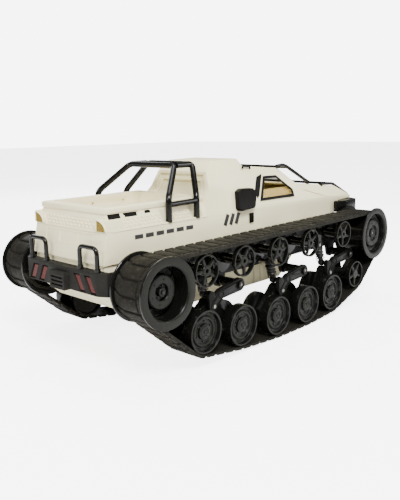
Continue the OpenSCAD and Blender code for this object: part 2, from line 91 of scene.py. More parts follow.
def build_stage():
    """Floor, backdrop and lights."""
    bm = bmesh.new()
    bmesh.ops.create_grid(bm, x_segments=8, y_segments=8, size=6)
    mesh = bpy.data.meshes.new("floor")
    bm.to_mesh(mesh)
    bm.free()
    floor = bpy.data.objects.new("floor", mesh)
    bpy.context.scene.collection.objects.link(floor)
    mesh.materials.append(stage_material())
    # a hair below the belts, whose pads stand on z = 0
    floor.location.z = -0.1 * MM
    world = bpy.data.worlds.new("studio")
    world.use_nodes = True
    background = world.node_tree.nodes["Background"]
    background.inputs["Color"].default_value = (1, 1, 1, 1)
    # the backdrop itself is bright white, but lights the object only softly
    seen = world.node_tree.nodes.new("ShaderNodeLightPath")
    level = world.node_tree.nodes.new("ShaderNodeMapRange")
    level.inputs["To Min"].default_value = 0.2
    level.inputs["To Max"].default_value = 7.0
    world.node_tree.links.new(seen.outputs["Is Camera Ray"], level.inputs["Value"])
    world.node_tree.links.new(level.outputs["Result"], background.inputs["Strength"])
    bpy.context.scene.world = world
    area_light("key", (-0.6, -0.85, 1.15), (-0.05, 0, 0.08), (0.5, 0.4), 40)
    area_light("rear_soft", (-0.95, 0.25, 0.6), (-0.1, 0, 0.09), (0.16, 0.16), 4.5)
    area_light("front_fill", (0.9, -0.9, 0.6), (0.05, 0, 0.07), (0.6, 0.6), 9)
    area_light("left_fill", (0.3, 1.2, 0.7), (0.05, 0, 0.07), (0.7, 0.7), 8)
    area_light("top", (0.1, 0.1, 1.4), (0, 0, 0), (0.9, 0.9), 15)


# ---------------------------------------------------------------- materials
class Finish:
    """A procedural material, built from noise layers on the object's own coordinates."""

    def __init__(self, name, colour, rough):
        self.material = bpy.data.materials.new(name)
        self.material.use_nodes = True
        self.tree = self.material.node_tree
        self.shader = self.tree.nodes["Principled BSDF"]
        self.shader.inputs["Base Color"].default_value = (*colour, 1)
        self.shader.inputs["Roughness"].default_value = rough
        self.place = self.tree.nodes.new("ShaderNodeTexCoord").outputs["Object"]
        self.colour = colour
        self.height = None

    def put(self, name, value):
        self.shader.inputs[name].default_value = value
        return self

    def link(self, source, target):
        self.tree.links.new(source, target)

    def noise(self, scale, detail, stretch=(1, 1, 1)):
        mapping = self.tree.nodes.new("ShaderNodeMapping")
        mapping.inputs["Scale"].default_value = stretch
        self.link(self.place, mapping.inputs["Vector"])
        node = self.tree.nodes.new("ShaderNodeTexNoise")
        node.inputs["Scale"].default_value = scale
        node.inputs["Detail"].default_value = detail
        node.inputs["Roughness"].default_value = 0.62
        self.link(mapping.outputs["Vector"], node.inputs["Vector"])
        return node.outputs["Fac"]

    def cells(self, scale, feature="F1"):
        node = self.tree.nodes.new("ShaderNodeTexVoronoi")
        node.feature = feature
        node.inputs["Scale"].default_value = scale
        self.link(self.place, node.inputs["Vector"])
        return node.outputs["Distance"]

    def ramp(self, source, low, high, dark, light):
        node = self.tree.nodes.new("ShaderNodeMapRange")
        node.inputs["From Min"].default_value = low
        node.inputs["From Max"].default_value = high
        node.inputs["To Min"].default_value = dark
        node.inputs["To Max"].default_value = light
        self.link(source, node.inputs["Value"])
        return node.outputs["Result"]

    def tint(self, source, low, high, other):
        """Blend towards another colour where the source runs from low to high."""
        mix = self.tree.nodes.new("ShaderNodeMix")
        mix.data_type = "RGBA"
        socket = self.shader.inputs["Base Color"]
        if socket.is_linked:
            self.link(socket.links[0].from_socket, mix.inputs["A"])
        else:
            mix.inputs["A"].default_value = (*self.colour, 1)
        mix.inputs["B"].default_value = (*other, 1)
        self.link(self.ramp(source, low, high, 0, 1), mix.inputs["Factor"])
        self.link(mix.outputs["Result"], socket)
        return self

    def rough(self, source, low, high, least, most):
        self.link(self.ramp(source, low, high, least, most), self.shader.inputs["Roughness"])
        return self

    def bump(self, source, depth, strength):
        node = self.tree.nodes.new("ShaderNodeBump")
        node.inputs["Distance"].default_value = depth * MM
        node.inputs["Strength"].default_value = strength
        self.link(source, node.inputs["Height"])
        if self.height is not None:
            self.link(self.height, node.inputs["Normal"])
        self.height = node.outputs["Normal"]
        self.link(self.height, self.shader.inputs["Normal"])
        return self


def stage_material():
    """White floor, brighter to the camera than as a light on the object."""
    f = Finish("floor", (0.93, 0.93, 0.925), 0.7)
    f.tint(f.noise(3, 2), 0.3, 0.7, (0.95, 0.95, 0.945))
    f.put("Specular IOR Level", 0.1)
    f.put("Emission Color", (1, 1, 1, 1))
    seen = f.tree.nodes.new("ShaderNodeLightPath")
    strength = f.ramp(seen.outputs["Is Camera Ray"], 0, 1, 0.1, 4.4)
    f.link(strength, f.shader.inputs["Emission Strength"])
    return f.material


def cream_abs(name="cream_abs", colour=(0.86, 0.79, 0.52)):
    """Moulded ABS: faint flow mottling, a satin skin and a fine mould texture."""
    f = Finish(name, colour, 0.42)
    warm = tuple(c * k for c, k in zip(colour, (0.965, 0.955, 0.9)))
    f.tint(f.noise(22, 3), 0.4, 0.75, warm)
    f.tint(f.noise(160, 5), 0.62, 0.8, tuple(c * 0.93 for c in colour))
    f.rough(f.noise(75, 4), 0.3, 0.7, 0.36, 0.52)
    f.bump(f.noise(900, 2), 0.03, 0.5)
    f.bump(f.noise(26, 2), 0.25, 0.25)
    f.put("Specular IOR Level", 0.4)
    return f.material


def belt_rubber():
    """Soft moulded rubber, grey with dust in its pores and lighter on worn faces."""
    f = Finish("belt_rubber", (0.0085, 0.0079, 0.0058), 0.72)
    f.tint(f.noise(48, 6), 0.4, 0.75, (0.0165, 0.015, 0.011))
    f.tint(f.noise(420, 4), 0.58, 0.75, (0.036, 0.032, 0.024))
    f.put("Specular IOR Level", 0.1)
    f.rough(f.noise(120, 5), 0.3, 0.7, 0.5, 0.78)
    f.bump(f.noise(700, 5), 0.1, 0.7)
    f.bump(f.cells(900), 0.05, 0.4)
    return f.material


def gloss_black():
    """Polished black moulding with fine handling marks."""
    colour = (0.004, 0.004, 0.0034)
    f = Finish("gloss_black", colour, 0.16)
    f.tint(f.noise(60, 4), 0.5, 0.8, tuple(c * 1.9 for c in colour))
    f.rough(f.noise(210, 6, (1, 0.3, 1)), 0.35, 0.7, 0.12, 0.24)
    f.bump(f.noise(60, 2), 0.03, 0.2)
    f.put("Specular IOR Level", 0.2)
    f.put("Coat Weight", 0.1)
    f.put("Coat Roughness", 0.08)
    return f.material


def satin_black(name, colour, least=0.38, most=0.58, grain=0.06, shine=0.2):
    """Satin moulded nylon with a fine spark-eroded grain and paler rubbed patches."""
    f = Finish(name, colour, 0.45)
    f.tint(f.noise(34, 5), 0.45, 0.8, tuple(c * 1.4 + 0.001 for c in colour))
    f.tint(f.noise(380, 3), 0.62, 0.78, tuple(c * 1.7 + 0.002 for c in colour))
    f.put("Specular IOR Level", shine)
    f.rough(f.noise(90, 5), 0.3, 0.7, least, most)
    f.bump(f.noise(1300, 3), grain, 0.35)
    return f.material


def turned_steel(name, colour, least=0.2, most=0.42):
    """Bright turned metal with fine tool lines and slight tarnish."""
    f = Finish(name, colour, 0.3)
    f.put("Metallic", 1.0)
    f.put("Anisotropic", 0.4)
    f.tint(f.noise(140, 5), 0.5, 0.8, tuple(c * 0.62 for c in colour))
    f.rough(f.noise(260, 6, (1, 8, 1)), 0.3, 0.7, least, most)
    f.bump(f.noise(500, 3, (1, 6, 1)), 0.03, 0.6)
    return f.material


def lens(name, colour, deep):
    """Moulded lens: deep colour with prismatic cells under a dull skin."""
    f = Finish(name, colour, 0.35)
    f.tint(f.cells(650), 0.15, 0.6, deep)
    f.rough(f.noise(240, 4), 0.3, 0.7, 0.28, 0.48)
    f.bump(f.cells(650), 0.12, 0.4)
    f.put("Specular IOR Level", 0.2)
    return f.material


def glazing():
    """Thin clear glazing, slightly warm, with faint dust."""
    f = Finish("glazing", (0.97, 0.94, 0.87), 0.03)
    f.tint(f.noise(70, 5), 0.5, 0.85, (0.9, 0.86, 0.77))
    f.rough(f.noise(130, 5), 0.35, 0.75, 0.0, 0.06)
    f.bump(f.noise(30, 1), 0.01, 0.2)
    f.put("Transmission Weight", 1.0)
    f.put("IOR", 1.05)
    return f.material


def printed_black():
    f = Finish("printed_black", (0.02, 0.02, 0.02), 0.4)
    f.tint(f.noise(300, 6), 0.55, 0.75, (0.05, 0.05, 0.048))
    f.rough(f.noise(180, 4), 0.3, 0.7, 0.3, 0.5)
    f.bump(f.noise(800, 3), 0.02, 0.5)
    return f.material


def wrap_film():
    f = Finish("wrap_film", (0.02, 0.05, 0.2), 0.25)
    f.tint(f.noise(50, 4), 0.45, 0.8, (0.03, 0.08, 0.28))
    f.rough(f.noise(150, 5), 0.3, 0.7, 0.15, 0.4)
    f.bump(f.noise(120, 4, (1, 4, 1)), 0.2, 0.5)
    return f.material


def circuit_board():
    f = Finish("circuit_board", (0.01, 0.09, 0.04), 0.35)
    f.tint(f.cells(260, "SMOOTH_F1"), 0.25, 0.5, (0.02, 0.16, 0.07))
    f.rough(f.noise(200, 4), 0.3, 0.7, 0.25, 0.5)
    f.bump(f.cells(260), 0.05, 0.5)
    return f.material


def glowing(material, colour, strength):
    """Painted light: an emission glow on thin plastic that is no lamp, standing in for daylight through
    it.
    """
    shader = material.node_tree.nodes["Principled BSDF"]
    shader.inputs["Emission Color"].default_value = (*colour, 1)
    shader.inputs["Emission Strength"].default_value = strength
    return material


MATERIALS = {
    "cream": cream_abs(),
    "hatch": cream_abs("hatch_abs", (0.7, 0.68, 0.6)),
    # the tan and pale liners glow with painted light, though they are no lamps
    "tan": glowing(cream_abs("tan_liner", (0.6, 0.44, 0.13)), (0.6, 0.44, 0.13), 0.16),
    "pale": glowing(cream_abs("pale_liner", (0.8, 0.74, 0.58)), (0.8, 0.74, 0.6), 0.45),
    "belt": belt_rubber(),
    "gloss": gloss_black(),
    "wheel_face": satin_black("wheel_face", (0.0085, 0.0085, 0.0068), 0.24, 0.36, 0.015, 0.13),
    "arm": satin_black("arm_nylon", (0.004, 0.004, 0.0036), 0.2, 0.36, 0.03, 0.14),
    "rail": satin_black("rail_nylon", (0.008, 0.008, 0.0075)),
    "bumper": satin_black("bumper_grey", (0.0125, 0.012, 0.0105), 0.45, 0.62, 0.05, 0.08),
    "front": satin_black("front_black", (0.0035, 0.0035, 0.0033), 0.16, 0.3, 0.02, 0.2),
    "trim": satin_black("trim_black", (0.0045, 0.0043, 0.0039), 0.4, 0.55, 0.06, 0.06),
    "boot": satin_black("damper_grey", (0.015, 0.015, 0.014), 0.3, 0.5),
    "steel": turned_steel("turned_steel", (0.3, 0.28, 0.25)),
    "spring": turned_steel("spring_steel", (0.1, 0.096, 0.088), 0.25, 0.45),
    "motor": turned_steel("motor_can", (0.45, 0.45, 0.46), 0.25, 0.5),
    "red": lens("red_lens", (0.1, 0.013, 0.009), (0.06, 0.006, 0.004)),
    "amber": lens("amber_lens", (0.27, 0.185, 0.018), (0.17, 0.11, 0.01)),
    "glass": glazing(),
    "print": printed_black(),
    "wrap": wrap_film(),
    "board": circuit_board(),
}


# ---------------------------------------------------------------- mesh helpers
def finish_piece(name, bm, material, body, nodes=(), sharp=CREASE, side=None):
    """Turn a bmesh drawn in millimetres into a piece that rides on a body."""
    if side == "right":
        bmesh.ops.scale(bm, vec=(1, -1, 1), verts=bm.verts)
        bmesh.ops.reverse_faces(bm, faces=bm.faces)
    bmesh.ops.scale(bm, vec=(MM, MM, MM), verts=bm.verts)
    mesh = bpy.data.meshes.new(name)
    bm.to_mesh(mesh)
    bm.free()
    for key in [material] if isinstance(material, str) else material:
        mesh.materials.append(MATERIALS[key])
    mesh.shade_smooth()
    mesh.set_sharp_from_angle(angle=sharp)
    piece = bpy.data.objects.new(name, mesh)
    bpy.context.scene.collection.objects.link(piece)
    if body:
        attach(piece, body)
    if nodes:
        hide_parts(*nodes)
    return piece


def rounded(points, radius, steps=3, closed=True):
    """Round each corner of an outline with a short curve."""
    points = [Vector(p) for p in points]
    result = []
    for i, p in enumerate(points):
        if not closed and i in (0, len(points) - 1):
            result.append(p)
            continue
        before = points[i - 1] - p
        after = points[(i + 1) % len(points)] - p
        cut = min(radius, before.length * 0.45, after.length * 0.45)
        start = p + before.normalized() * cut
        end = p + after.normalized() * cut
        for k in range(steps + 1):
            t = k / steps
            result.append(start * (1 - t) ** 2 + p * (2 * t * (1 - t)) + end * t * t)
    return result


def bevel_edges(bm, width, angle=28):
    """Round every edge that is sharper than the angle."""
    bm.normal_update()
    limit = math.radians(angle)
    edges = [e for e in bm.edges if len(e.link_faces) == 2 and e.calc_face_angle(0) > limit]
    bmesh.ops.bevel(bm, geom=edges, offset=width, segments=2, profile=0.5,
                    affect="EDGES", clamp_overlap=True)


def prism(bm, outline, low, high, axis, bevel):
    """Extrude a flat outline from low to high: [x, z] points along y, or [y, z] points along x."""
    def place(p, level):
        return Vector((p[0], level, p[1]) if axis == "y" else (level, p[0], p[1]))

    part = bmesh.new()
    ends = [[part.verts.new(place(p, level)) for p in outline] for level in (low, high)]
    part.faces.new(ends[0])
    part.faces.new(list(reversed(ends[1])))
    for i in range(len(outline)):
        j = (i + 1) % len(outline)
        part.faces.new([ends[0][j], ends[0][i], ends[1][i], ends[1][j]])
    bmesh.ops.recalc_face_normals(part, faces=part.faces)
    bevel_edges(part, bevel)
    merge(bm, part)


def append(bm, part):
    """Copy one bmesh into another, and free the first."""
    mesh = bpy.data.meshes.new("scratch")
    part.to_mesh(mesh)
    part.free()
    bm.from_mesh(mesh)
    bpy.data.meshes.remove(mesh)


def merge(bm, part, index=0, move=None):
    """Add one bmesh to another, moved by a matrix and with its own material index."""
    if move is not None:
        bmesh.ops.transform(part, matrix=move, verts=part.verts)
        if move.determinant() < 0:
            bmesh.ops.reverse_faces(part, faces=part.faces)
    for face in part.faces:
        face.material_index = index
    append(bm, part)


def box(bm, low, high, bevel):
    outline = [(low[0], low[2]), (high[0], low[2]), (high[0], high[2]), (low[0], high[2])]
    prism(bm, outline, low[1], high[1], "y", bevel)


def on_circle(centre, radius, angle, y):
    """A point on a circle about an axle at centre [x, z]."""
    return Vector((centre[0] + radius * math.cos(angle), y, centre[1] + radius * math.sin(angle)))


def around(centre, radius, count, y, start=0.0):
    """Points evenly spaced on a circle about an axle at centre [x, z]."""
    return [on_circle(centre, radius, start + 2 * math.pi * k / count, y) for k in range(count)]


def flat_ring(bm, radius, height, sides):
    """A ring of vertices about the z axis."""
    return [bm.verts.new((radius * math.cos(2 * math.pi * k / sides),
                          radius * math.sin(2 * math.pi * k / sides), height)) for k in range(sides)]


def skin(bm, rings):
    """Join each ring of vertices to the next with a band of faces."""
    for low, high in zip(rings, rings[1:]):
        for k in range(len(low)):
            j = (k + 1) % len(low)
            bm.faces.new([low[k], low[j], high[j], high[k]])


def lathe(profile, centre, segments=96):
    """Turn a closed [radius, y] profile about the axle at centre [x, z]."""
    part = bmesh.new()
    rings = [[part.verts.new(on_circle(centre, r, 2 * math.pi * k / segments, y)) for r, y in profile]
             for k in range(segments)]
    for here, there in zip(rings, rings[1:] + rings[:1]):
        for i in range(len(profile)):
            j = (i + 1) % len(profile)
            # a stretch on the axis has no faces
            if max(profile[i][0], profile[j][0]) >= 1e-6:
                part.faces.new([here[i], here[j], there[j], there[i]])
    bmesh.ops.remove_doubles(part, verts=part.verts, dist=1e-4)
    bmesh.ops.recalc_face_normals(part, faces=part.faces)
    return part


def washer(inner, outer, y0, y1, centre):
    """Flat ring with rounded edges about the axle at centre [x, z]."""
    return lathe(rounded([(inner, y0), (outer, y0), (outer, y1), (inner, y1)], 0.3), centre, 40)


def add_lathe(bm, profile, centre, face_from, radius):
    """Add a turned form; faces that look outwards beyond face_from take the second material."""
    part = lathe(rounded(profile, radius), centre)
    part.normal_update()
    for face in part.faces:
        outward = face.calc_center_median().y > face_from and face.normal.y > 0.35
        face.material_index = 1 if outward else 0
    append(bm, part)


def bolt(bm, centre, radius, height, axis=(0, 1, 0), sides=6, index=0):
    """Bolt or rivet head that stands on a face and points along an axis."""
    part = bmesh.new()
    rings = [flat_ring(part, r, h, sides)
             for r, h in ((radius, 0), (radius, height * 0.7), (radius * 0.8, height))]
    skin(part, rings)
    part.faces.new(rings[-1])
    part.faces.new(list(reversed(rings[0])))
    turn = Vector((0, 0, 1)).rotation_difference(Vector(axis)).to_matrix().to_4x4()
    merge(bm, part, index, Matrix.Translation(centre) @ turn)


def tube(bm, points, radius, bend=0.0, sides=20, index=0, closed=False):
    """Round tube along points, with bent corners and flat ends."""
    path = rounded(points, bend, 7, closed) if bend else [Vector(p) for p in points]
    part = bmesh.new()
    rings = []
    normal = None
    count = len(path)
    for i, p in enumerate(path):
        ahead = path[(i + 1) % count] if closed else path[min(i + 1, count - 1)]
        behind = path[i - 1] if closed else path[max(i - 1, 0)]
        along = (ahead - behind).normalized()
        if normal is None:
            normal = along.orthogonal().normalized()
        normal = (normal - along * normal.dot(along)).normalized()
        other = along.cross(normal)
        rings.append([part.verts.new(p + (normal * math.cos(a) + other * math.sin(a)) * radius)
                      for a in (2 * math.pi * k / sides for k in range(sides))])
    skin(part, rings + rings[:1] if closed else rings)
    if not closed:
        part.faces.new(list(reversed(rings[0])))
        part.faces.new(rings[-1])
    bmesh.ops.recalc_face_normals(part, faces=part.faces)
    merge(bm, part, index)


def rod(bm, centre, radius, y0, y1, sides):
    """Straight round rod across the part, on the axle at centre [x, z]."""
    tube(bm, [(centre[0], y0, centre[1]), (centre[0], y1, centre[1])], radius, sides=sides)


def softened(node, width, material, body="root", detail=None):
    """A copy of a CAD node with rounded edges, which stands for it."""
    bm = bmesh.new()
    bm.from_mesh(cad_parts[node].data)
    bmesh.ops.scale(bm, vec=(1 / MM, 1 / MM, 1 / MM), verts=bm.verts)
    for layer in list(bm.loops.layers.uv):
        bm.loops.layers.uv.remove(layer)
    bmesh.ops.remove_doubles(bm, verts=bm.verts, dist=0.01)
    bmesh.ops.dissolve_degenerate(bm, dist=0.005, edges=bm.edges)
    bmesh.ops.dissolve_limit(bm, angle_limit=math.radians(0.6), verts=bm.verts, edges=bm.edges)
    bevel_edges(bm, width)
    for face in bm.faces:
        face.material_index = 0
    if detail:
        detail(bm)
    return finish_piece(node + "_looks", bm, material, body, [node])


def axle_at(node):
    """The [x, z] centre of a CAD node's box, in millimetres."""
    low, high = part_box(node)
    middle = (low + high) / (2 * MM)
    return (middle.x, middle.z)


def side_point(x, z, off=0.0):
    """A point on the leaning cab side, off millimetres out from its surface."""
    return Vector((x, BODY_HALF - LEAN * max(0.0, z - SHOULDER_Z) + off, z))


# ---------------------------------------------------------------- belts
BELT_IN = 61.2  # y of the belt's inner edge
BELT_W = 29.9
BELT_T = 2.6
BELT_GAP = 0.5  # from the road wheels to the belt
DRUM_GAP = 0.3  # from the drums of the sprocket and the idler to the belt
SPROCKET_DRUM = 21.6
IDLER_DRUM = 20.9
ROAD_R = 17.3
LEAD_R = 13.4
PADS = 68
BELT_MID_Z = 62  # between the belt's upper and lower runs
BELT_CREASE = math.radians(24)
BOGIE_WHEELS = [("road_wheel_{}_1", "road_wheel_{}_2"), ("road_wheel_{}_3", "road_wheel_{}_4"),
                ("road_wheel_{}_5", "lead_wheel_{}")]
# The lower stretches start this far behind the first road wheel, meet this far ahead
# of each bogie's front wheel, and stop this far ahead of the lead wheel.
BELT_BEHIND, BELT_BETWEEN, BELT_AHEAD = 34, 16, 21


class BeltPath:
    """The closed line that the inside of a belt follows round its wheels, by arc length."""

    def __init__(self, side):
        circles = [(axle_at(f"drive_sprocket_{side}"), SPROCKET_DRUM + DRUM_GAP),
                   (axle_at(f"idler_wheel_{side}"), IDLER_DRUM + DRUM_GAP),
                   (axle_at(f"lead_wheel_{side}"), LEAD_R + BELT_GAP)]
        circles += [(axle_at(f"road_wheel_{side}_{i}"), ROAD_R + BELT_GAP) for i in range(1, 6)]
        cloud = []
        for (x, z), r in circles:
            for k in range(720):
                a = 2 * math.pi * k / 720
                cloud.append((x + r * math.cos(a), z + r * math.sin(a)))
        self.line = [Vector(p) for p in self.hull(sorted(set(cloud)))]
        self.steps = [0.0]
        for a, b in zip(self.line, self.line[1:] + self.line[:1]):
            self.steps.append(self.steps[-1] + (b - a).length)
        self.length = self.steps[-1]
        self.pitch = self.length / PADS

    @staticmethod
    def hull(points):
        """Convex hull, anticlockwise in [x, z]."""
        def half(ordered):
            chain = []
            for p in ordered:
                while len(chain) > 1 and ((chain[-1][0] - chain[-2][0]) * (p[1] - chain[-2][1])
                                          - (chain[-1][1] - chain[-2][1]) * (p[0] - chain[-2][0])) <= 0:
                    chain.pop()
                chain.append(p)
            return chain[:-1]
        return half(points) + half(points[::-1])

    def point(self, s):
        """Point at arc length s."""
        s %= self.length
        low = bisect_right(self.steps, s, 0, len(self.line)) - 1
        span = self.steps[low + 1] - self.steps[low]
        ahead = self.line[(low + 1) % len(self.line)]
        return self.line[low].lerp(ahead, (s - self.steps[low]) / span)

    def at(self, s):
        """Point and outward normal at arc length s."""
        s %= self.length
        reach = 0.6
        t = (self.point(s + reach) - self.point(s - reach)).normalized()
        return self.point(s), Vector((t.y, -t.x))

    def below(self, x):
        """Arc length where the lower run passes a station x."""
        count = len(self.line)
        lower = [i for i in range(count) if self.line[i].y <= BELT_MID_Z]
        best = min(lower, key=lambda i: abs(self.line[i].x - x))
        for j in (best, best - 1):
            p, q = self.line[j], self.line[(j + 1) % count]
            if min(p.x, q.x) <= x <= max(p.x, q.x) and abs(q.x - p.x) > 1e-6 and p.y < BELT_MID_Z:
                return self.steps[j % count] + (x - p.x) / (q.x - p.x) * (q - p).length
        return self.steps[best]


# Along one pad: [share of the pitch, height as a share of the belt's thickness]
PAD_PROFILE = [(0.0, 0.48), (0.09, 0.48), (0.14, 0.93), (0.19, 1.0), (0.4, 1.0), (0.62, 1.0),
               (0.86, 1.0), (0.93, 0.93)]
# Across the belt from its outer edge: [distance, greatest height as a share of the belt's
# thickness, how far the pad edge leans]. The groove lies from 5.7 to 6.5.
BELT_ACROSS = [(0.0, 0.0, -3.4), (0.0, 0.7, -3.4), (0.5, 1.0, -3.1), (3.0, 1.0, -1.6),
               (5.2, 1.0, -0.4), (5.7, 0.55, -0.2), (6.5, 0.55, 0.0), (7.0, 1.0, 0.0),
               (13.0, 1.0, 0.0), (19.0, 1.0, 0.0), (23.4, 1.0, 0.0), (26.8, 1.0, -1.9),
               (29.4, 1.0, -3.3), (29.9, 0.7, -3.5), (29.9, 0.0, -3.5)]


def belt_piece(path, side, name, start, stop, body):
    """Stretch of belt between two pad edges, which are counted along the path."""
    stations = [(i + share, height) for i in range(start, stop) for share, height in PAD_PROFILE]
    stations.append((stop, PAD_PROFILE[0][1]))
    bm = bmesh.new()
    rows = []
    for station, height in stations:
        row = []
        for distance, most, shear in BELT_ACROSS:
            point, normal = path.at(station * path.pitch + shear)
            place = point + normal * (BELT_T * min(height, most))
            row.append(bm.verts.new((place.x, BELT_IN + BELT_W - distance, place.y)))
        rows.append(row)
    for a, b in zip(rows, rows[1:]):
        for i in range(len(a)):
            j = (i + 1) % len(a)
            bm.faces.new([a[i], b[i], b[j], a[j]])
    bm.faces.new(rows[0])
    bm.faces.new(list(reversed(rows[-1])))
    bmesh.ops.recalc_face_normals(bm, faces=bm.faces)
    return finish_piece(name, bm, "belt", body, [f"track_{side}"], BELT_CREASE, side)


def build_belt(side):
    """Upper loop on the chassis, and lower stretches under the arms and bogies; of these only the
    stretch under each bogie rides on it.
    """
    path = BeltPath(side)
    ends = [[axle_at(name.format(side))[0] for name in pair] for pair in BOGIE_WHEELS]
    bounds = [ends[0][0] - BELT_BEHIND, ends[0][1] + BELT_BETWEEN, ends[1][1] + BELT_BETWEEN,
              ends[2][1] + BELT_AHEAD]
    edges = [round(path.below(x) / path.pitch) for x in bounds]
    back = edges[0] if edges[0] > edges[3] else edges[0] + PADS
    belt_piece(path, side, f"belt_{side}_upper", edges[3], back, "root")
    lean = -min(shear for _, _, shear in BELT_ACROSS)
    for i, (first, last) in enumerate(zip(edges, edges[1:]), 1):
        arm, bogie = f"swing_arm_{side}_{i}", f"bogie_{side}_{i}"
        cuts = (first, first + 2, first + 3, last - 2, last - 1, last)
        plan = [("a", "root", arm), ("b", arm, bogie), ("c", bogie, None), ("d", bogie, arm),
                ("e", arm, "root")]
        for (letter, near, far), low, high in zip(plan, cuts, cuts[1:]):
            name = f"belt_{side}_{i}{letter}"
            piece = belt_piece(path, side, name, low, high, None if far else near)
            if far:
                begin = path.point(low * path.pitch).x
                end = path.point(high * path.pitch).x - lean
                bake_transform(piece)


# ---------------------------------------------------------------- wheels
FACE_Y = 90.3  # outer face of the wheels inside the flanges
WHEEL_IN, WHEEL_OUT = 59, 93.3  # the flanged wheels, over both flanges
FLANGE_R = 26.8
ROLLER_R = 12.9


def finish_wheel(node, bm, side):
    finish_piece(node + "_looks", bm, ["gloss", "wheel_face"], node, [node], side=side)


def build_sprocket(side):
    node = f"drive_sprocket_{side}"
    c = axle_at(node)
    bm = bmesh.new()
    add_lathe(bm, [(0, WHEEL_IN), (6, WHEEL_IN), (6, 74.5), (19.2, 74.5), (19.2, WHEEL_IN),
                   (FLANGE_R, WHEEL_IN), (FLANGE_R, 60.9), (SPROCKET_DRUM, 60.9),
                   (SPROCKET_DRUM, 91.4), (FLANGE_R, 91.4), (FLANGE_R, WHEEL_OUT), (20.8, WHEEL_OUT),
                   (19.6, 92.2), (18.8, 78.6), (13.5, 78.2), (13.2, 84.4), (12.2, 85.6), (6.8, 85.6),
                   (6.2, 84.7), (6.0, 82.4), (3.4, 82.4), (3.3, 85.9), (0, 86)], c, 76, 0.5)
    for p in around(c, 9.4, 6, 85.4, 0.3):
        bolt(bm, p, 0.75, 0.7, sides=10, index=1)
    for p in around(c, 4.7, 6, 82.2):
        bolt(bm, p, 0.6, 1.4, sides=8)
    bolt(bm, (c[0], 85.8, c[1]), 1.7, 1.2)
    # ribs in the dish, and the axle towards the drive unit
    for inner, outer in zip(around(c, 13.2, 5, 79, 0.5), around(c, 18.9, 5, 79, 0.5)):
        tube(bm, [inner, outer], 0.8, sides=10)
    rod(bm, c, 2.5, 34, 60, 32)
    finish_wheel(node, bm, side)


def build_idler(side):
    node = f"idler_wheel_{side}"
    c = axle_at(node)
    bm = bmesh.new()
    add_lathe(bm, [(2.56, WHEEL_IN), (6, WHEEL_IN), (6, 80), (18.6, 80), (18.6, WHEEL_IN),
                   (FLANGE_R, WHEEL_IN), (FLANGE_R, 60.9), (IDLER_DRUM, 60.9), (IDLER_DRUM, 91.4),
                   (FLANGE_R, 91.4), (FLANGE_R, WHEEL_OUT), (21.6, WHEEL_OUT), (20.6, 92.4),
                   (19.5, 86.6), (14.9, 86.4), (14.2, 89.3), (13, 90.2), (8.4, 90.2), (7.8, 88.1),
                   (4.7, 87.9), (4.5, 90), (2.56, 90)], c, 82, 0.5)
    for p in around(c, 10.7, 8, 90, 0.2):
        bolt(bm, p, 0.75, 0.6, sides=10, index=1)
    for p in around(c, 17.2, 10, 86.3):
        bolt(bm, p, 0.6, 0.5, sides=8)
    finish_wheel(node, bm, side)


def build_road_wheel(side, i):
    node = f"road_wheel_{side}_{i}"
    c = axle_at(node)
    r = ROAD_R
    bm = bmesh.new()
    add_lathe(bm, [(0, 61), (4.4, 61), (5, 63.4), (r - 2.6, 63.4), (r - 2, 61), (r, 61), (r, 66),
                   (3.6, 66), (3.6, 67.2), (2, 67.2), (2, 80.6), (4, 80.6), (4, 81), (5, 81),
                   (5, 83.6), (r - 2.2, 83.6), (r - 1.6, 81), (r, 81), (r, FACE_Y), (r - 1.5, FACE_Y),
                   (r - 2.3, 86.9), (12.6, 86.5), (12.1, 87.4), (11.6, 87.9), (10.2, 88), (9.6, 86.4),
                   (6.6, 86.3), (6.2, 88.4), (3.4, 89.1), (3.0, 88.3), (1.5, 88.3), (1.2, 89.2),
                   (0, 89.2)], c, 85.5, 0.3)
    for p in around(c, 8.1, 6, 86.2, 0.4 * i):
        bolt(bm, p, 0.7, 1.0, sides=8)
    for p in around(c, 4.7, 5, 88.2, 0.2 * i):
        bolt(bm, p, 0.5, 0.8, sides=8)
    for k in range(8):
        a = 0.3 * i + 2 * math.pi * k / 8
        tube(bm, [on_circle(c, 13.8, a + t, 86.8) for t in (-0.2, -0.1, 0, 0.1, 0.2)], 0.42, sides=8)
    finish_wheel(node, bm, side)


def spoke(bm, c, angle, inner, outer, y0, y1, root, tip):
    """Tapered spoke with rounded edges, from the hub to the rim."""
    part = bmesh.new()
    outline = [(inner, -root / 2), (outer, -tip / 2), (outer, tip / 2), (inner, root / 2)]
    prism(part, outline, y0, y1, "y", 0.35)
    spin = Matrix.Translation((c[0], 0, c[1])) @ Matrix.Rotation(-angle, 4, "Y")
    merge(bm, part, 1, spin)


def build_spoked(node, side, radius, hub, rim_back, hub_step, bore, phase):
    """Return roller or lead wheel: an inner disc, a hub, and an open rim on five ribbed spokes."""
    c = axle_at(node)
    bm = bmesh.new()
    add_lathe(bm, [(radius - 1.5, rim_back), (radius, rim_back), (radius, FACE_Y),
                   (radius - 1.3, FACE_Y)], c, FACE_Y - 1, 0.35)
    add_lathe(bm, [(bore, 61), (radius, 61), (radius, 65.4), (hub, 65.6), (hub, hub_step),
                   (hub + 0.5, FACE_Y - 1.2), (hub - 0.2, FACE_Y - 0.5), (bore + 0.2, FACE_Y - 0.4),
                   (bore, FACE_Y - 0.8)], c, FACE_Y - 2, 0.3)
    for k in range(5):
        a = phase + 2 * math.pi * k / 5
        spoke(bm, c, a, hub * 0.7, radius - 0.9, FACE_Y - 3.2, FACE_Y - 1.1, 2.7, 2.0)
        spoke(bm, c, a, hub * 0.7, radius - 0.9, rim_back + 0.3, FACE_Y - 2.6, 1.0, 1.0)
    finish_wheel(node, bm, side)


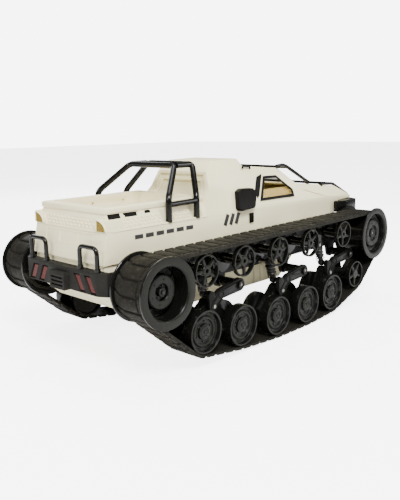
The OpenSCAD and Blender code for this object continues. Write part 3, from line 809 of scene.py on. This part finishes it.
# ---------------------------------------------------------------- suspension
ARM_TOP = [(-56.5, 55.2), (37.6, 50.1), (120.9, 53.2)]
ARM_LOW = [(-89.6, 43.7), (2.8, 37.7), (82.8, 39.8)]
SHOCK_TOP = [(-94, 66.5), (-5, 64.5), (74, 68.5)]
SHOCK_LOW = [(x - 2, z + 9.5) for x, z in ARM_LOW]
ARM_FACE = 80.2
SHOCK_Y = 71.0


def link_outline(a, b, ra, rb, steps=14):
    """Outline of a flat link: two circles joined by their tangents."""
    a, b = Vector(a), Vector(b)
    d = b - a
    base = math.atan2(d.y, d.x)
    open_angle = math.acos(max(-1, min(1, (ra - rb) / d.length)))
    points = []
    for k in range(steps + 1):
        t = base + open_angle + (2 * math.pi - 2 * open_angle) * k / steps
        points.append(a + Vector((math.cos(t), math.sin(t))) * ra)
    for k in range(steps + 1):
        t = base - open_angle + 2 * open_angle * k / steps
        points.append(b + Vector((math.cos(t), math.sin(t))) * rb)
    return points


def build_arm(side, i):
    """Swing arm with a raised rim round both links, a boss at each end and a bolt head."""
    node = f"swing_arm_{side}_{i + 1}"
    top, low = ARM_TOP[i], ARM_LOW[i]
    knee = (low[0] + 9, top[1] - 3.2)
    sign = SIDES[side]

    def detail(bm):
        for a, b, ra, rb in ((top, knee, 3.6, 2.8), (knee, low, 2.8, 3.0)):
            loop = [Vector((p.x, sign * (ARM_FACE + 0.1), p.y)) for p in link_outline(a, b, ra, rb)]
            tube(bm, loop, 0.45, sides=8, closed=True)
        for c, r in ((top, 3.9), (low, 3.4)):
            rod(bm, c, r, sign * (ARM_FACE - 0.5), sign * (ARM_FACE + 0.3), 32)
        bolt(bm, (low[0], sign * (ARM_FACE + 0.2), low[1]), 1.9, 1.0, (0, sign, 0), index=1)
    softened(node, 0.5, ["arm", "steel"], node, detail)


def build_bogie(side, i):
    node = f"bogie_{side}_{i + 1}"
    softened(node, 0.6, "arm", node)


def build_shock(side, i):
    """Damper: a cup, a plain sleeve, a rod and a wire spring."""
    a, b = SHOCK_TOP[i], SHOCK_LOW[i]
    upper = Vector((a[0], SHOCK_Y, a[1]))
    lower = Vector((b[0], SHOCK_Y, b[1]))
    along = (lower - upper).normalized()
    length = (lower - upper).length
    bm = bmesh.new()
    for p, r, bore in ((upper, 3.3, 2.1), (lower, 3.0, 1.6)):
        merge(bm, washer(bore, r, SHOCK_Y - 2.2, SHOCK_Y + 2.2, (p.x, p.z)))
    turn = Vector((0, 0, 1)).rotation_difference(along).to_matrix().to_4x4()
    move = Matrix.Translation(upper) @ turn
    body = bmesh.new()
    profile = [(0.0, 2.2), (3.9, 2.4), (4.4, 3.2), (4.4, 4.2), (3.5, 4.8), (3.5, length * 0.66),
               (2.5, length * 0.68), (2.5, length - 2.2), (0.0, length - 2.0)]
    rings = [flat_ring(body, max(r, 0.02), h, 28) for r, h in rounded(profile, 0.25, closed=False)]
    skin(body, rings)
    body.faces.new(rings[0])
    body.faces.new(rings[-1])
    bmesh.ops.recalc_face_normals(body, faces=body.faces)
    merge(bm, body, 0, move)
    turns, steps = 4, 64
    coil = []
    for k in range(steps + 1):
        t = k / steps
        angle = 2 * math.pi * turns * t
        rise = 4.6 + (length - 7.4) * t
        coil.append(move @ Vector((3.9 * math.cos(angle), 3.9 * math.sin(angle), rise)))
    tube(bm, coil, 0.42, sides=8, index=1)
    piece = finish_piece(f"damper_{side}_{i + 1}", bm, ["boot", "spring"], None,
                         ["shock_absorbers"], side=side)
    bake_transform(piece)


# ---------------------------------------------------------------- body details
DIAMOND = (2.7, 1.05)  # length and width of one tread mark
TREAD_ROWS = 3
TAIL_X, TAIL_Z, TAIL_LEAN = -171.5, 86, 4.5 / 24.3


def finish_cream(name, bm, side=None):
    finish_piece(name, bm, "cream", "root", side=side)


def tread_plate(bm, corner, along, up, columns):
    """Rows of raised diamonds, alternately turned, on a plate that starts at corner."""
    out = along.cross(up).normalized()
    step_a, step_u = along / columns, up / TREAD_ROWS
    for i in range(columns):
        for j in range(TREAD_ROWS):
            centre = corner + step_a * (i + 0.5) + step_u * (j + 0.5)
            lean = math.radians(52 if (i + j) % 2 else -52)
            a = along.normalized() * math.cos(lean) + up.normalized() * math.sin(lean)
            b = out.cross(a)
            base = [centre + a * DIAMOND[0] / 2, centre + b * DIAMOND[1] / 2,
                    centre - a * DIAMOND[0] / 2, centre - b * DIAMOND[1] / 2]
            tops = [centre + (p - centre) * 0.55 + out * 0.75 for p in base]
            low = [bm.verts.new(p - out * 0.15) for p in base]
            high = [bm.verts.new(p) for p in tops]
            bm.faces.new(high)
            bm.faces.new(list(reversed(low)))
            skin(bm, [low, high])
    bmesh.ops.recalc_face_normals(bm, faces=bm.faces)


def build_tread_plates():
    """Tread marks on the sloping faces beside the bed, and above the tailgate."""
    for side in SIDES:
        bm = bmesh.new()
        for x0, x1 in ((-148.5, -112), (-97, -79.5)):
            tread_plate(bm, Vector((x1, 46.45, 111.4)), Vector((x0 - x1, 0, 0)),
                        Vector((0, -3.55, 7.0)), round((x1 - x0) / 2.5))
        finish_cream(f"side_tread_{side}", bm, side)
    bm = bmesh.new()
    tread_plate(bm, Vector((-166.8, 33.5, 111.3)), Vector((0, -67, 0)), Vector((1.85, 0, 7.0)), 27)
    finish_cream("rear_tread", bm)


def tail_point(y, z, off):
    """A point on the sloping tailgate, off millimetres out from its surface."""
    return Vector((TAIL_X + (z - TAIL_Z) * TAIL_LEAN - off, y, z))


def surface_strip(bm, a, b, width, low, high, place, crown=0.6):
    """Thin raised strip from a to b, [u, v] points on a surface given by place(u, v, off)."""
    a, b = Vector(a), Vector(b)
    d = (b - a).normalized()
    n = Vector((-d.y, d.x)) * width / 2
    base = [bm.verts.new(place(p.x, p.y, low)) for p in (a - n, b - n, b + n, a + n)]
    cut = d * n.length * (1 - crown)
    inset = [a - n * crown + cut, b - n * crown - cut, b + n * crown - cut, a + n * crown + cut]
    top = [bm.verts.new(place(p.x, p.y, high)) for p in inset]
    bm.faces.new(top)
    bm.faces.new(list(reversed(base)))
    skin(bm, [base, top])
    bmesh.ops.recalc_face_normals(bm, faces=bm.faces)


def build_side_details(side):
    """Creases and shut lines, rivets, and printed bars in place of the lettering and number."""
    bm = bmesh.new()
    for a, b, width, high in (((16, 112.2), (84, 110.6), 0.7, 0.3),
                              ((-30, 113), (-24, 140), 0.6, 0.22),
                              ((-30, 113), (-10, 144), 0.6, 0.22),
                              ((88, 96), (88, 104), 0.5, 0.2)):
        surface_strip(bm, a, b, width, -0.3, high, side_point)
    surface_strip(bm, (-163, 110.4), (-60, 110.4), 1.5, -0.4, 0.5, side_point)
    finish_cream(f"side_creases_{side}", bm, side)
    bm = bmesh.new()
    for x in (-60, -36, 40, 110):
        bolt(bm, side_point(x, 93, -0.05), 0.9, 0.45, sides=16)
    finish_cream(f"side_rivets_{side}", bm, side)
    bm = bmesh.new()
    for x in range(-141, -76, 11):
        surface_strip(bm, (x, 103.4), (x + 8.4, 103.4), 3.6, -0.2, 0.06, side_point, 0.97)
    for x in (-36.4, -29, -21.6):
        surface_strip(bm, (x - 1.2, 99.2), (x + 2.8, 108.8), 4.3, -0.2, 0.3, side_point, 0.97)
    finish_piece(f"printed_bars_{side}", bm, "print", "root", side=side)


def build_tailgate():
    """Raised lines on the tailgate, one of them under its rim."""
    bm = bmesh.new()
    for a, b, width, high in (((-31, 107.5), (31, 107.5), 1.0, 0.35),
                              ((-46, 109.9), (46, 109.9), 1.4, 0.6),
                              ((-31, 107.5), (-31, 89), 0.8, 0.3), ((31, 107.5), (31, 89), 0.8, 0.3),
                              ((-12, 106.4), (-12, 98), 0.7, 0.3), ((12, 106.4), (12, 98), 0.7, 0.3),
                              ((-12, 98), (12, 98), 0.7, 0.3)):
        surface_strip(bm, a, b, width, -0.4, high, tail_point)
    finish_cream("tailgate_panel", bm)


def build_bed_ribs():
    bm = bmesh.new()
    for y in range(-28, 29, 7):
        box(bm, (-154, y - 1.1, 108.8), (-72, y + 1.1, 109.7), 0.3)
    finish_cream("bed_ribs", bm)


def build_cab_inside():
    """Floor, dashboard, seat backs, a panel below each side window, and pale walls and floor, all with
    a painted glow.
    """
    bm = bmesh.new()
    box(bm, (6, -36, 103), (74, 36, 106), 0.8)
    dashboard = rounded([(58, 106), (74, 106), (72, 117.5), (60, 119.5)], 2)
    prism(bm, dashboard, -36, 36, "y", 0.6)
    seat = rounded([(14, 106), (34, 106), (34, 111), (22, 112), (17, 128), (11, 127)], 2.2)
    for y in (-20, 20):
        prism(bm, seat, y - 11, y + 11, "y", 1.2)
    outline = [(14, 113.6), (72, 113.6), (72, 121.4), (68, 125), (21, 125)]
    for sign in SIDES.values():
        inner, outer = [[bm.verts.new(side_point(x, z, off) * Vector((1, sign, 1))) for x, z in outline]
                        for off in (-3, -2.1)]
        bm.faces.new(inner)
        bm.faces.new(list(reversed(outer)))
        for k in range(len(outline)):
            j = (k + 1) % len(outline)
            bm.faces.new([inner[k], outer[k], outer[j], inner[j]])
    bmesh.ops.recalc_face_normals(bm, faces=bm.faces)
    finish_piece("cab_liner", bm, "tan", "root")
    bm = bmesh.new()
    for y in (-35.5, 34):
        wall = [(10, 106.2), (57, 106.2), (57, 122.5), (10, 124.5)]
        prism(bm, wall, y, y + 1.2, "y", 0.4)
    box(bm, (10, -33.6, 106.1), (57, 33.6, 107.2), 0.3)
    finish_piece("cab_inner_walls", bm, "pale", "root")


def build_slot_inserts(side):
    """Dark plates in the slots under the bed rim: painted shade where the inside of the body falls
    dark.
    """
    inner = 38.4
    bm = bmesh.new()
    for x0, x1, z0, z1 in ((-161.8, -150.2, 118.8, 122.4), (-146, -134, 119, 121.9),
                           (-126, -120, 119.8, 121.8)):
        low, high = [BODY_HALF + 0.12 - (z - SHOULDER_Z) * BED_LEAN for z in (z0, z1)]
        prism(bm, [(inner, z0), (low, z0), (high, z1), (inner, z1)], x0, x1, "x", 0.15)
    finish_piece(f"painted_slot_shade_{side}", bm, "trim", "root", side=side)


def build_lamp_pods():
    """Domed housings around the corner lamps, with a raised rim round each lens."""
    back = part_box("corner_lamps")[0][0] / MM
    lens_w, lens_h, rise = 10.6, 7.6, 9.6
    turns = [math.radians(90 * k / 14) for k in range(15)]
    dome = [math.radians(a) for a in range(12, 85, 12)]
    stations = [(0.45, 1), (6, 1), (12, 1)] + [(12 + 13 * math.sin(t), math.cos(t)) for t in dome]
    for name, inner, reach in (("left", 46.25, 14.6), ("right", -35.75, 11.5)):
        bm = bmesh.new()
        loops = []
        for x, size in stations:
            loop = [(inner - reach * size * math.cos(t), SHOULDER_Z + rise * size * math.sin(t))
                    for t in turns]
            loop.append((inner, SHOULDER_Z))
            loops.append([bm.verts.new((back + x, y, z)) for y, z in loop])
        skin(bm, loops)
        bm.faces.new(loops[0])
        bm.faces.new(list(reversed(loops[-1])))
        bmesh.ops.recalc_face_normals(bm, faces=bm.faces)
        bevel_edges(bm, 0.6, 60)
        arc = [(back + 0.25, inner - (lens_w + 0.5) * math.cos(t),
                SHOULDER_Z + 0.6 + (lens_h + 0.5) * math.sin(t)) for t in turns]
        tube(bm, arc + [(back + 0.25, inner + 0.3, SHOULDER_Z + 0.6)], 0.75, sides=12)
        finish_cream(f"lamp_pod_{name}", bm)


def build_cage():
    """Two bent hoops over the bed, joined by side rails, with a collar at each foot."""
    feet_x, top_x, knee_z = (-104, -72), (-79.8, -58.5), (129.6, 127.8)
    top_z, top_half, foot_half = 153.5, 28.5, 46
    bm = bmesh.new()
    for fx, tx, kz in zip(feet_x, top_x, knee_z):
        left = [(fx, foot_half, SHOULDER_Z + 0.2), (fx, foot_half, kz), (tx, top_half, top_z)]
        right = [(x, -y, z) for x, y, z in reversed(left)]
        tube(bm, left + right, 2.6, 5.0, 28)
    for sign in SIDES.values():
        top_y, foot_y = sign * top_half, sign * foot_half
        tube(bm, [(top_x[0] + 2, top_y, top_z), (top_x[1] - 2, top_y, top_z)], 2.45, sides=24)
        tube(bm, [(feet_x[0], foot_y, 124.2), (feet_x[1], foot_y, 124.8)], 2.3, sides=24)
        for fx in feet_x:
            tube(bm, [(fx, foot_y, SHOULDER_Z + 0.1), (fx, foot_y, SHOULDER_Z + 1.6)], 2.75, sides=24)
    finish_piece("roll_cage_looks", bm, "gloss", "root", ["roll_cage"])


def build_hoops():
    """Two hoops on the rear bumper, with a stepped collar at each foot."""
    x, base, top = -175.0, 81.9, 99.5
    inner, outer = 22.8, 44.0
    bm = bmesh.new()
    for sign in SIDES.values():
        corners = ((inner, base), (inner, top), (outer, top), (outer, base))
        tube(bm, [(x, sign * y, z) for y, z in corners], 1.75, 5.0)
        for y in (inner, outer):
            for radius, rises in ((2.4, (0, 0.5, 2.4)), (1.9, (2.2, 3.0))):
                tube(bm, [(x, sign * y, base + rise) for rise in rises], radius)
    finish_piece("bumper_hoops_looks", bm, "gloss", "root", ["bumper_hoops"])


def build_guards():
    """Round guard bars over the windscreen and the nose, and two grab handles on the roof."""
    roof = [(57, 32, 145.4), (68, 32, 146.2), (75, 32, 144), (115, 32, 124.9)]
    nose = [(122, 41, 123.9), (147.4, 41, 121.9), (178.4, 41, 107.9)]
    grab = [(4.4, 31.9, 146), (4.8, 31.9, 148.2), (15.2, 31.9, 147.6), (15.8, 31.9, 145.4)]
    feet = [(60, 32, 145.6), (112.5, 32, 126.2), (124, 41, 123.7), (175.5, 41, 109.3)]
    bm = bmesh.new()
    for sign in SIDES.values():
        for points, radius, bend in ((roof, 1.75, 3), (nose, 1.6, 3), (grab, 0.85, 1.5)):
            tube(bm, [(x, sign * y, z) for x, y, z in points], radius, bend, 18)
        for x, y, z in feet:
            tube(bm, [(x, sign * y, z - 2.4), (x, sign * y, z)], 2.1, sides=18)
    for x, y, z in ((75, 32, 143.6), (147.4, 41, 121.8)):
        tube(bm, [(x, -y, z), (x, y, z)], 1.5, sides=18)
    finish_piece("guard_bars_looks", bm, "front", "root", ["guard_bars"])


def build_pins():
    """Pivot pins with small bright screw heads in dark collars, and the roller and idler axles."""
    rail_y, hull_y = 52.3, 45.9
    bm = bmesh.new()
    for sign in SIDES.values():
        def collar(c, inner, outer, y0, y1):
            merge(bm, washer(inner, outer, y0, y1, c), 1, Matrix.Diagonal((1, sign, 1, 1)))

        for c in ARM_TOP:
            rod(bm, c, 2, sign * rail_y, sign * (ARM_FACE + 0.6), 24)
            collar(c, 1.9, 3.6, ARM_FACE + 0.1, ARM_FACE + 1.5)
            bolt(bm, (c[0], sign * (ARM_FACE + 0.5), c[1]), 1.3, 0.8, (0, sign, 0))
        for c in SHOCK_TOP:
            rod(bm, c, 2, sign * rail_y, sign * (SHOCK_Y + 2.8), 24)
            collar(c, 1.9, 3.0, SHOCK_Y + 2.6, SHOCK_Y + 3.4)
        for i in range(1, 6):
            rod(bm, axle_at(f"return_roller_left_{i}"), 1.5, sign * hull_y, sign * 86.2, 24)
        c = axle_at("idler_wheel_left")
        rod(bm, c, 2.5, sign * hull_y, sign * 89.6, 24)
        collar(c, 1.2, 2.5, 89.4, 90)
    finish_piece("pins_looks", bm, ["steel", "arm"], "root", ["steel_pins"])


def keep_node(node, material):
    """A CAD node whose own shape is shown, with a finished material."""
    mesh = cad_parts[node].data
    mesh.materials.clear()
    mesh.materials.append(MATERIALS[material])


build_camera()
build_stage()
for side_name in SIDES:
    build_belt(side_name)
    build_sprocket(side_name)
    build_idler(side_name)
    for number in range(1, 6):
        build_road_wheel(side_name, number)
        build_spoked(f"return_roller_{side_name}_{number}", side_name, ROLLER_R, 4.2, 86.6, 87, 1.56,
                     0.3 + 0.37 * number)
    build_spoked(f"lead_wheel_{side_name}", side_name, LEAD_R, 4.4, 85, 86, 0.3, 0.9)
    for number in range(3):
        build_arm(side_name, number)
        build_bogie(side_name, number)
        build_shock(side_name, number)
softened("body_shell", 0.55, "cream")
softened("hull_tub", 0.6, "cream")
softened("battery_hatch", 0.3, "hatch")
softened("side_rails", 0.4, "rail")
softened("rear_bumper", 0.45, "bumper")
softened("front_bumper", 2.2, "front")
softened("intake_covers", 0.9, "trim")
softened("window_frames", 0.2, "trim")
build_guards()
build_pins()
build_tread_plates()
for side_name in SIDES:
    build_side_details(side_name)
build_tailgate()
build_bed_ribs()
build_cab_inside()
# dark plates of painted shade in the slots under the bed rim
for side_name in SIDES:
    build_slot_inserts(side_name)
build_lamp_pods()
build_cage()
build_hoops()
for kept, finish in (("window_panes", "glass"), ("red_reflectors", "red"), ("corner_lamps", "amber"),
                     ("drive_units", "motor"), ("battery_pack", "wrap"), ("control_board", "board"),
                     ("power_switch", "trim")):
    keep_node(kept, finish)
